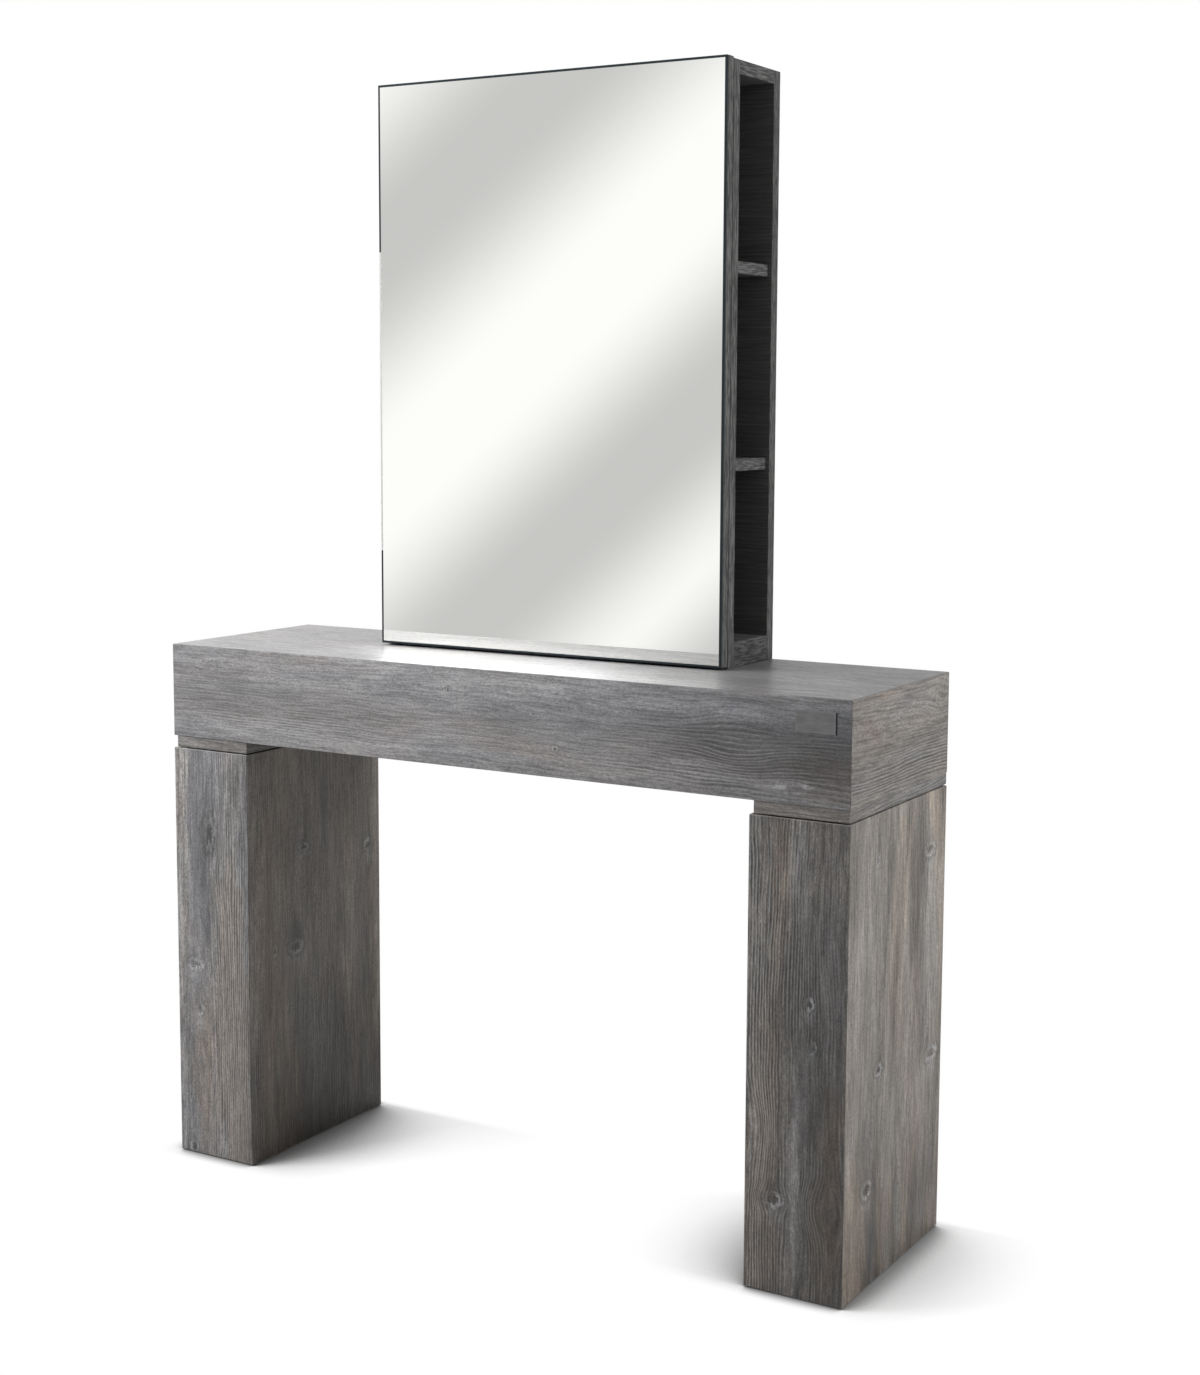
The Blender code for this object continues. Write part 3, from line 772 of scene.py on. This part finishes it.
def turn_up(name, outline, facets):
    """A turned solid about Z: a disc drawn up through (radius, height) points, in edit mode."""
    start_modelling()
    radius, height = outline[0]
    bpy.ops.mesh.primitive_circle_add(vertices=facets, radius=radius, fill_type="NGON",
                                      location=(0, 0, height))
    piece = name_and_edit(name)
    for next_radius, next_height in outline[1:]:
        bpy.ops.mesh.extrude_region_move(TRANSFORM_OT_translate={"value": (0, 0, next_height - height)})
        grow = next_radius / radius
        bpy.ops.transform.resize(value=(grow, grow, 1.0), center_override=(0, 0, next_height))
        radius, height = next_radius, next_height
    select_all()
    bpy.ops.mesh.normals_make_consistent(inside=False)
    return piece


def threaded_rod(name, sizes, radius, pitch, low, high):
    """A rod about Z: one turn of its thread is wound up the rod, and the ends are sawn off flat."""
    start_modelling()
    bpy.ops.mesh.primitive_grid_add(x_subdivisions=1, y_subdivisions=2, size=pitch)
    piece = name_and_edit(name)
    shape = bmesh.from_edit_mesh(piece.data)
    bmesh.ops.delete(shape, geom=[point for point in shape.verts if point.co.x > 0], context="VERTS")
    for point in shape.verts:
        crest = abs(point.co.y) < pitch / 4
        point.co = (radius if crest else radius - sizes.thread_depth, 0.0, point.co.y + pitch / 2)
    bmesh.update_edit_mesh(piece.data)
    bpy.ops.object.mode_set(mode="OBJECT")
    wind = piece.modifiers.new("wound thread", "SCREW")
    wind.steps = sizes.facets
    wind.render_steps = sizes.facets
    wind.angle = tau
    wind.screw_offset = pitch
    wind.iterations = int((high - low) / pitch) + 3
    wind.use_merge_vertices = True
    wind.merge_threshold = WELD
    bpy.ops.object.modifier_apply(modifier=wind.name)
    piece.data.transform(Matrix.Translation((0, 0, low - pitch)))
    bpy.ops.object.mode_set(mode="EDIT")
    select_all()
    bpy.ops.mesh.remove_doubles(threshold=WELD)
    for level, upward in ((low, -1), (high, 1)):
        select_all()
        bpy.ops.mesh.bisect(plane_co=(0, 0, level), plane_no=(0, 0, upward),
                            use_fill=True, clear_outer=True)
    select_all()
    bpy.ops.mesh.normals_make_consistent(inside=False)
    bpy.ops.object.mode_set(mode="OBJECT")
    return piece


def cut_out(piece, cutter):
    """Take a cutter's shape out of a piece, and the cutter away."""
    start_modelling()
    bpy.context.view_layer.objects.active = piece
    hole = piece.modifiers.new("recess", "BOOLEAN")
    hole.operation = "DIFFERENCE"
    hole.solver = "EXACT"
    hole.object = cutter
    bpy.ops.object.modifier_apply(modifier=hole.name)
    bpy.data.objects.remove(cutter, do_unlink=True)


def join_smooth(name, *pieces):
    """Make one piece of several, and smooth its turned faces."""
    start_modelling()
    for piece in pieces:
        piece.select_set(True)
    whole = pieces[0]
    bpy.context.view_layer.objects.active = whole
    if len(pieces) > 1:
        bpy.ops.object.join()
    whole.name = name
    whole.data.name = name
    bpy.ops.object.shade_smooth_by_angle(angle=SMOOTH_LIMIT)
    return whole


def settle(piece, body, slot, *nodes):
    """Hang a finished piece on its body, and hide the nodes that it stands for. Its slot is not used."""
    start_modelling()
    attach(piece, body)
    if nodes:
        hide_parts(*nodes)


def copy_to(master, name, matrix, finish):
    """A copy of a modelled piece with its own mesh, moved by a matrix."""
    mesh = master.data.copy()
    mesh.name = name
    mesh.transform(matrix)
    mesh.materials.clear()
    mesh.materials.append(finish)
    piece = bpy.data.objects.new(name, mesh)
    bpy.context.scene.collection.objects.link(piece)
    return piece


def silver_finish(tones):
    finish, bench, shader = new_finish("mirror_silver")
    wiped = bench.speckle(9.0, 3.0)
    bench.put(shader, base_color=bench.tinted(tones.silver, wiped.swing(0.004)),
              roughness=wiped.span(0.45, 0.80, 0.0, 0.012), metallic=1.0)
    return finish


def dark_matt_finish(name, tone, pale=None, stretch=None):
    """Dark matt paint for the glass's ground sides, and painted shade: the dark line round the mirror,
    standing in for the dark reflection of its edge, and the shadow line beside the plate. A painted
    highlight lies left of a place and between two heights, if they are given.
    """
    finish, bench, shader = new_finish(name)
    ground = bench.speckle(900.0, 2.0)
    paint = bench.tinted(tone, ground.swing(0.5))
    if stretch:
        right, low, high = stretch
        x, _, z = bench.split(bench.place())
        paint = bench.mix((x < right) * (z > low) * (z < high), paint, pale)
    bench.put(shader, base_color=paint, roughness=ground * 0.3 + 0.45)
    shader.inputs["Specular IOR Level"].default_value = 0.15
    return finish


class STATION_OT_make_mirror(Operator):
    """Model the sheet of mirror glass, with a ground edge and a painted dark line round its silver, standing
    in for the dark reflection of its edge
    """

    bl_idname = "station.make_mirror"
    bl_label = "Make Mirror"

    def execute(self, context):
        tones = context.scene.station_colours
        sizes = context.scene.station_sizes
        low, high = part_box("mirror_glass")
        sheet = add_block("mirror_sheet", low, high)
        bpy.context.tool_settings.mesh_select_mode = (False, True, False)
        select_all()
        bpy.ops.mesh.bevel(offset=sizes.mirror_arris, segments=2, profile=0.5, affect="EDGES")
        select_faces(sheet, faces_client)
        bpy.ops.mesh.inset(thickness=sizes.mirror_seal, depth=0.0)
        # The inset border is painted dark, for the dark reflection of the glass's edge, with a painted
        # highlight on its left stretch
        stretch = (low.x + 2 * sizes.mirror_seal, low.z + sizes.gap_low, low.z + sizes.gap_high)
        for finish in (dark_matt_finish("mirror_edge_seal", tones.seal, tones.seal_gap, stretch),
                       silver_finish(tones),
                       dark_matt_finish("mirror_ground_edge", tones.ground_edge)):
            sheet.data.materials.append(finish)
        sheet.active_material_index = 1
        bpy.ops.object.material_slot_assign()
        select_faces(sheet, lambda middle, normal: normal.y > -0.1)
        sheet.active_material_index = 2
        bpy.ops.object.material_slot_assign()
        settle(sheet, STATION, SILVER_SLOT, "mirror_glass")
        return {"FINISHED"}


def plate_finish(tones, low, high):
    """A plate with the fascia's own greys, and a faint pale rim."""
    finish, bench, shader = new_finish("bare_plate")
    x, y, z = bench.split(bench.place())
    brushed = bench.noise(bench.vector(x * 45.0, y, z * 700.0), 3.0)
    cloud = bench.noise(bench.vector(x * 50.0, y, z * 90.0), 2.0)
    rims = []
    for place, least, most in ((x, low.x, high.x), (z, low.z, high.z)):
        half = (most - least) / 2
        rims.append(abs(place - (least + most) / 2).span(half - RIM_INSIDE, half - RIM_OUTSIDE))
    shade = brushed.swing(0.30) * cloud.swing(0.35) * (bench.most(*rims) * 0.14 + 1.0)
    bench.put(shader, base_color=bench.tinted(tones.plate, shade), roughness=brushed * 0.2 + 0.40)
    bench.relief(shader, brushed, 0.0001, 0.5)
    return finish


class STATION_OT_make_plate(Operator):
    """Model the small bare plate on the fascia's right end and a painted shadow line beside it"""

    bl_idname = "station.make_plate"
    bl_label = "Make Plate"

    def execute(self, context):
        tones = context.scene.station_colours
        sizes = context.scene.station_sizes
        low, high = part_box("front_fascia")
        right = high.x - sizes.plate_end_inset
        top = high.z - sizes.plate_top_inset
        foot = top - sizes.plate_height
        front = low.y - sizes.plate_thickness
        back = low.y + sizes.plate_thickness
        plate_low = Vector((right - sizes.plate_length, front, foot))
        plate_high = Vector((right, back, top))
        plate = add_block("bare_plate", plate_low, plate_high)
        select_faces(plate, faces_client)
        bpy.ops.mesh.bevel(offset=sizes.plate_thickness / 2, segments=2, affect="EDGES")
        plate.data.materials.append(plate_finish(tones, plate_low, plate_high))
        settle(plate, STATION, PINE_SLOT)
        # Painted shadow: a dark strip beside the plate, where its edge would throw a shadow on the fascia
        shadow_line = add_block("plate_slit", Vector((right, front, foot)),
                         Vector((right + sizes.slit_width, back, top)))
        select_faces(shadow_line, faces_client)
        bpy.ops.mesh.inset(thickness=sizes.slit_width / 6, depth=-sizes.plate_thickness * 0.8)
        shadow_line.data.materials.append(dark_matt_finish("plate_slit", tones.seal))
        settle(shadow_line, STATION, PLASTIC_SLOT)
        return {"FINISHED"}


def hardware_finish(name, tone, speckles, contrast, gloss, relief, metallic):
    """One colour with fine speckles in its tone, its gloss and its surface."""
    finish, bench, shader = new_finish(name)
    speckle = bench.speckle(*speckles)
    bench.put(shader, base_color=bench.tinted(tone, speckle.swing(contrast)),
              roughness=speckle * gloss[0] + gloss[1], metallic=metallic)
    bench.relief(shader, speckle, *relief)
    return finish


def zinc_finish(tones):
    return hardware_finish("zinc_plated_steel", tones.zinc, (420.0, 3.0), 0.25, (0.25, 0.22),
                           (0.00005, 0.4), 1.0)


def plastic_finish(tones):
    return hardware_finish("black_plastic", tones.plastic, (1500.0, 2.0), 0.4, (0.3, 0.38),
                           (0.0001, 0.5), 0.0)


def make_head(name, node, outline, facets):
    """A turned head with its top at 0, then the fastener's length and the head's radius and height."""
    low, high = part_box(node)
    radius = (high.x - low.x) / 2
    head = turn_up(name, [(radius * share, radius * level) for share, level in outline], facets)
    return head, high.z - low.z, radius, -radius * outline[0][1]


def make_screw(sizes):
    """A wood screw with a raised cross head: its head's top is at 0 and its point is down."""
    head, long, radius, height = make_head("screw_head", "left_tower_screw_front", SCREW_HEAD, sizes.facets)
    shank = radius * SCREW_SHANK
    arm = Vector((1.1, 0.28, 0.9)) * radius / 2
    for half in (arm, arm.yxz):
        cut_out(head, add_block("drive_arm", -half, half))
    tip = 2 * shank - long
    rod = threaded_rod("screw_thread", sizes, shank, sizes.wood_pitch, tip, -height - SEAM)
    point = turn_up("screw_point", (
        (shank * 0.12, -long),
        (shank * 0.5, shank - long),
        (shank - sizes.thread_depth, tip - SEAM),
    ), sizes.facets)
    return join_smooth("wood_screw", head, rod, point)


def make_bolt(sizes):
    """A socket head bolt: its head's top is at 0 and its end is down."""
    head, long, radius, height = make_head("bolt_head", "left_leg_bolt_front_left", BOLT_HEAD, sizes.facets)
    shank = radius * BOLT_SHANK
    start_modelling()
    bpy.ops.mesh.primitive_cylinder_add(vertices=6, radius=radius * 0.42, depth=height * 1.2)
    cut_out(head, bpy.context.object)
    rod_low = BOLT_CHAMFER + SEAM - long
    rod = threaded_rod("bolt_thread", sizes, shank, sizes.thread_pitch, rod_low, -height - SEAM)
    end = turn_up("bolt_end", (
        (shank - 2 * sizes.thread_depth, -long),
        (shank - sizes.thread_depth, BOLT_CHAMFER - long),
    ), sizes.facets)
    return join_smooth("socket_bolt", head, rod, end)


class STATION_OT_make_fasteners(Operator):
    """Model the socket bolts of the legs and the wood screws of the tower, each in its node's place"""

    bl_idname = "station.make_fasteners"
    bl_label = "Make Fasteners"

    def execute(self, context):
        sizes = context.scene.station_sizes
        zinc = zinc_finish(context.scene.station_colours)
        screw = make_screw(sizes)
        bolt = make_bolt(sizes)
        for side in SIDES:
            for kind, rows in FASTENER_ROWS.items():
                master = bolt if kind == "leg_bolt" else screw
                for row in rows:
                    node = f"{side}_{kind}_{row}"
                    place = self.place(kind, *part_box(node), master.dimensions.z)
                    settle(copy_to(master, node + "_threaded", place, zinc), STATION, ZINC_SLOT, node)
        for master in (screw, bolt):
            bpy.data.objects.remove(master, do_unlink=True)
        return {"FINISHED"}

    def place(self, kind, low, high, long):
        """Bolts go in from below, tower screws from above, and the shorter mirror screws from behind."""
        middle = (low + high) / 2
        if kind == "leg_bolt":
            return Matrix.Translation((middle.x, middle.y, low.z)) @ Matrix.Rotation(pi, 4, "X")
        if kind == "tower_screw":
            return Matrix.Translation((middle.x, middle.y, high.z))
        shorter = Matrix.Scale((high.y - low.y) / long, 4, (0, 0, 1))
        return Matrix.Translation((middle.x, high.y, middle.z)) @ Matrix.Rotation(-pi / 2, 4, "X") @ shorter


def make_foot_pad(node, facets):
    """A moulded pad about Z, from the floor up to its collar, with gripping flutes round its rim."""
    low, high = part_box(node)
    radius = (high.x - low.x) / 2
    pad = turn_up("foot_pad", [(radius * share, height) for share, height in PAD_OUTLINE], 2 * facets)
    step = tau / facets

    def on_flute(middle, normal):
        if abs(normal.z) > 0.1 or not FLUTE_LOW < middle.z < FLUTE_HIGH:
            return False
        turn = Vector((middle.x, middle.y)).angle_signed(Vector((1, 0))) % tau
        return int(turn / step) % 2 == 0

    select_faces(pad, on_flute)
    bpy.ops.mesh.inset(thickness=radius * 0.02, depth=radius * 0.03, use_individual=False)
    return join_smooth("foot_pad", pad)


class STATION_OT_make_feet(Operator):
    """Model the levelling feet: a moulded pad and a threaded stem, each on its own foot"""

    bl_idname = "station.make_feet"
    bl_label = "Make Feet"

    def execute(self, context):
        sizes = context.scene.station_sizes
        tones = context.scene.station_colours
        plastic = plastic_finish(tones)
        zinc = zinc_finish(tones)
        feet = [f"{side}_foot_{corner}" for side in SIDES for corner in CORNERS]
        pad = make_foot_pad(feet[0], sizes.facets)
        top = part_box(feet[0])[1].z
        stem = threaded_rod("foot_stem", sizes, STEM_RADIUS, sizes.thread_pitch, STEM_LOW, top)
        join_smooth("foot_stem", stem)
        for foot in feet:
            low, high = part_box(foot)
            middle = (low + high) / 2
            place = Matrix.Translation((middle.x, middle.y, 0.0))
            settle(copy_to(pad, foot + "_pad", place, plastic), foot, PLASTIC_SLOT, foot)
            settle(copy_to(stem, foot + "_stem", place, zinc), foot, ZINC_SLOT)
        for master in (pad, stem):
            bpy.data.objects.remove(master, do_unlink=True)
        return {"FINISHED"}


class Lamp(NamedTuple):
    """A softbox: where it stands, where it points, its size and its power."""

    name: str
    place: tuple
    target: tuple
    width: float
    height: float
    power: float
    sheen: bool = False
    on_floor: bool = True


LAMPS = (
    Lamp("key_softbox", (-1.5, -1.3, 1.9), (-0.4, 0.0, 0.7), 0.9, 0.9, 48.0),
    Lamp("side_softbox", (2.7, 0.3, 1.9), (0.4, 0.0, 0.7), 1.4, 1.4, 46.0),
    Lamp("top_softbox", (-0.6, 0.0, 3.4), (-0.2, 0.0, 0.0), 2.0, 2.0, 80.0, on_floor=False),
    Lamp("mirror_glow_1", (-0.095, -0.003, 0.907), (-0.095, -0.36, 0.62), 0.43, 0.11, 0.415, True),
    Lamp("mirror_glow_2", (-0.055, -0.004, 0.907), (-0.055, -0.36, 0.62), 0.51, 0.11, 0.325, True),
    Lamp("mirror_glow_3", (0.0, -0.005, 0.907), (0.0, -0.36, 0.62), 0.62, 0.11, 0.325, True),
)
# Diagonal bands of grey and white that the mirror shows, laid out on the picture plane at a distance of 1
BAND_SLOPE = 1.07
BAND_PITCH = 0.2418
BAND_START = 0.770
# Soft steps from white to grey and back: where each one starts and ends, and its change. Then they repeat
BAND_STEPS = (
    (-0.859, -0.507, -1.0),
    (-0.416, -0.040, 1.0),
    (0.106, 0.443, -1.0),
    (0.538, 0.850, 0.9),
    (0.815, 1.075, -0.9),
    (1.100, 1.400, 1.0),
)
# The floor lies a hair below the feet's pads, so that both show from below
FLOOR_DROP = 0.0003


def camera_matrix(stage):
    turn = Matrix.Rotation(stage.camera_yaw, 4, "Z") @ Matrix.Rotation(pi / 2 + stage.camera_pitch, 4, "X")
    return Matrix.Translation(stage.camera_place) @ turn @ Matrix.Rotation(stage.camera_roll, 4, "Z")


def add_camera(stage):
    camera = bpy.data.cameras.new("photo_camera")
    camera.lens = stage.camera_lens
    camera.sensor_width = 36.0
    camera.shift_y = stage.camera_shift
    holder = bpy.data.objects.new("photo_camera", camera)
    holder.matrix_world = camera_matrix(stage)
    bpy.context.scene.collection.objects.link(holder)
    bpy.context.scene.camera = holder


def add_lamps(floor):
    """The softboxes. The one above the beam leaves the floor out, so no shadow lies between the legs."""
    receivers = bpy.data.collections.new("all_but_floor")
    receivers.objects.link(floor)
    receivers.collection_objects[0].light_linking.link_state = "EXCLUDE"
    for lamp in LAMPS:
        light = bpy.data.lights.new(lamp.name, "AREA")
        light.shape = "RECTANGLE"
        light.size = lamp.width
        light.size_y = lamp.height
        light.energy = lamp.power
        holder = bpy.data.objects.new(lamp.name, light)
        holder.location = lamp.place
        aim = Vector(lamp.target) - Vector(lamp.place)
        holder.rotation_euler = aim.to_track_quat("-Z", "Y").to_euler()
        holder.visible_glossy = lamp.sheen
        if not lamp.on_floor:
            holder.light_linking.receiver_collection = receivers
        bpy.context.scene.collection.objects.link(holder)


def add_room(stage):
    """A white room: plain light on the station, white behind it, and soft diagonal bands in the mirror."""
    world = bpy.data.worlds.new("white_room")
    world.use_nodes = True
    bpy.context.scene.world = world
    bench = NodeBench(world.node_tree)
    path = bench.outputs(bench.add("LightPath"))
    direction = bench.add("TexCoord").outputs["Generated"]
    axes = camera_matrix(stage).to_3x3().col
    slant = Matrix.Scale(-1.0, 3, (0, 1, 0)) @ (axes[0] - BAND_SLOPE * axes[1]) / BAND_PITCH
    across = bench.outputs(bench.add("VectorMath", direction, slant, operation="DOT_PRODUCT")).value
    along = bench.maths("WRAP", across + BAND_START, BAND_STEPS[-1][1], BAND_STEPS[0][0])
    band = 1.0
    for start, end, change in BAND_STEPS:
        band = band + along.span(start, end, 0.0, change)
    bands = band * (stage.band_light - stage.band_dark) + stage.band_dark
    x, y, z = bench.split(direction)
    leftward = x * -1.0 / bench.most(abs(y), 0.01)
    wall = leftward.span(0.0, 0.35, 0.45, 0.55) + leftward.span(0.35, 0.85, 0.0, 0.65)
    ceiling = leftward.span(0.54, 0.74, z.span(0.26, 0.40, 0.02, 0.85), leftward.span(1.1, 1.6, 4.6, 1.0))
    reflected = bench.blend(z.span(0.16, 0.24), bands, ceiling)
    reflected = bench.blend(y > 0.0, reflected, wall)
    plain = path.is_camera_ray * (1.0 - stage.ambient) + stage.ambient
    level = bench.blend(bench.most(path.is_glossy_ray, path.is_transmission_ray), plain, reflected)
    bench.put(world.node_tree.nodes["Background"], color=(1.0, 1.0, 1.0, 1.0), strength=level)


def floor_finish(stage, tones):
    """Pale floor that keeps shadows near the station and goes plain white further out."""
    finish, bench, shader = new_finish("studio_floor")
    tree = finish.node_tree
    tree.nodes.remove(shader)
    path = bench.outputs(bench.add("LightPath"))
    x, y, _ = bench.split(bench.place())
    # Painted contact shade: the floor's colour and its glow darken with its occlusion round the legs
    contact = bench.put(bench.add("AmbientOcclusion", samples=16), distance=stage.contact_reach)
    openness = bench.outputs(contact).ao
    albedo = bench.mix(path.is_diffuse_ray, tones.floor, tones.floor_bounce)
    matt = bench.add("BsdfDiffuse", bench.tinted(albedo, openness.span(0.45, 0.75, 0.5, 1.0)))
    seen = bench.most(path.is_camera_ray, path.is_glossy_ray, path.is_transmission_ray)
    glow = bench.put(bench.add("Emission"), strength=seen * openness.span(0.50, 0.99) * stage.floor_lift)
    lifted = bench.add("AddShader", matt.outputs[0], glow.outputs[0])
    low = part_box("left_leg_outer_panel")[0]
    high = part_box("left_leg_inner_panel")[1]
    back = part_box("left_leg_back_panel")[1].y
    clear = bench.most(bench.length_of(x, y).span(0.8, 1.5), y.span(back, back + 0.025),
                       y.span(low.y + 0.006, low.y - 0.03), x.span(low.x + 0.006, low.x - 0.04),
                       x.span(-low.x, 0.05 - low.x, 0.0, 0.35))
    fade = bench.add("MixShader", seen * clear, lifted.outputs[0], bench.add("Emission").outputs[0])
    off_x = abs(abs(x) + (low.x + high.x) / 2)
    beneath = (off_x < (high.x - low.x) / 2) * (abs(y) < back) * (1.0 - path.is_camera_ray)
    backfacing = bench.outputs(bench.add("NewGeometry")).backfacing
    clear_glass = bench.add("BsdfTransparent").outputs[0]
    under = bench.add("MixShader", bench.most(beneath, backfacing), fade.outputs[0], clear_glass)
    bench.put(tree.nodes["Material Output"], surface=under.outputs[0])
    return finish


class STATION_OT_set_stage(Operator):
    """Set up the floor, the white room, the lamps and the camera"""

    bl_idname = "station.set_stage"
    bl_label = "Set Stage"

    def execute(self, context):
        stage = context.scene.station_stage
        start_modelling()
        bpy.ops.mesh.primitive_circle_add(vertices=96, radius=stage.floor_radius, fill_type="NGON",
                                          location=(0, 0, -FLOOR_DROP))
        bpy.ops.object.transform_apply(location=True, rotation=True, scale=True)
        floor = context.object
        floor.name = "studio_floor"
        floor.data.materials.append(floor_finish(stage, context.scene.station_colours))
        add_room(stage)
        add_lamps(floor)
        add_camera(stage)
        context.scene.view_settings.view_transform = "Standard"
        return {"FINISHED"}


OPERATORS = (
    STATION_OT_dress_pine,
    STATION_OT_dress_oak,
    STATION_OT_make_mirror,
    STATION_OT_make_plate,
    STATION_OT_make_fasteners,
    STATION_OT_make_feet,
    STATION_OT_set_stage,
)


class STATION_PT_looks(Panel):
    """Lists the steps and the values of the station's looks"""

    bl_idname = "STATION_PT_looks"
    bl_label = "Styling Station"
    bl_space_type = "VIEW_3D"
    bl_region_type = "UI"
    bl_category = "Station"

    def draw(self, context):
        steps = self.layout.column(align=True)
        for operator in OPERATORS:
            steps.operator(operator.bl_idname)
        for group in PROPERTY_GROUPS:
            settings = getattr(context.scene, group)
            values = self.layout.column()
            for name in settings.bl_rna.properties.keys():
                if name not in ("rna_type", "name"):
                    values.prop(settings, name)


PROPERTY_GROUPS = {
    "station_colours": StationColours,
    "station_sizes": StationSizes,
    "station_stage": StationStage,
}
CLASSES = (*PROPERTY_GROUPS.values(), *OPERATORS, STATION_PT_looks)


def register():
    for cls in CLASSES:
        bpy.utils.register_class(cls)
    for name, group in PROPERTY_GROUPS.items():
        setattr(bpy.types.Scene, name, PointerProperty(type=group))


def unregister():
    for name in PROPERTY_GROUPS:
        delattr(bpy.types.Scene, name)
    for cls in reversed(CLASSES):
        bpy.utils.unregister_class(cls)


def main():
    register()
    bpy.ops.station.dress_pine()
    bpy.ops.station.dress_oak()
    bpy.ops.station.make_mirror()
    bpy.ops.station.make_plate()
    bpy.ops.station.make_fasteners()
    bpy.ops.station.make_feet()
    bpy.ops.station.set_stage()


if __name__ == "__main__":
    main()
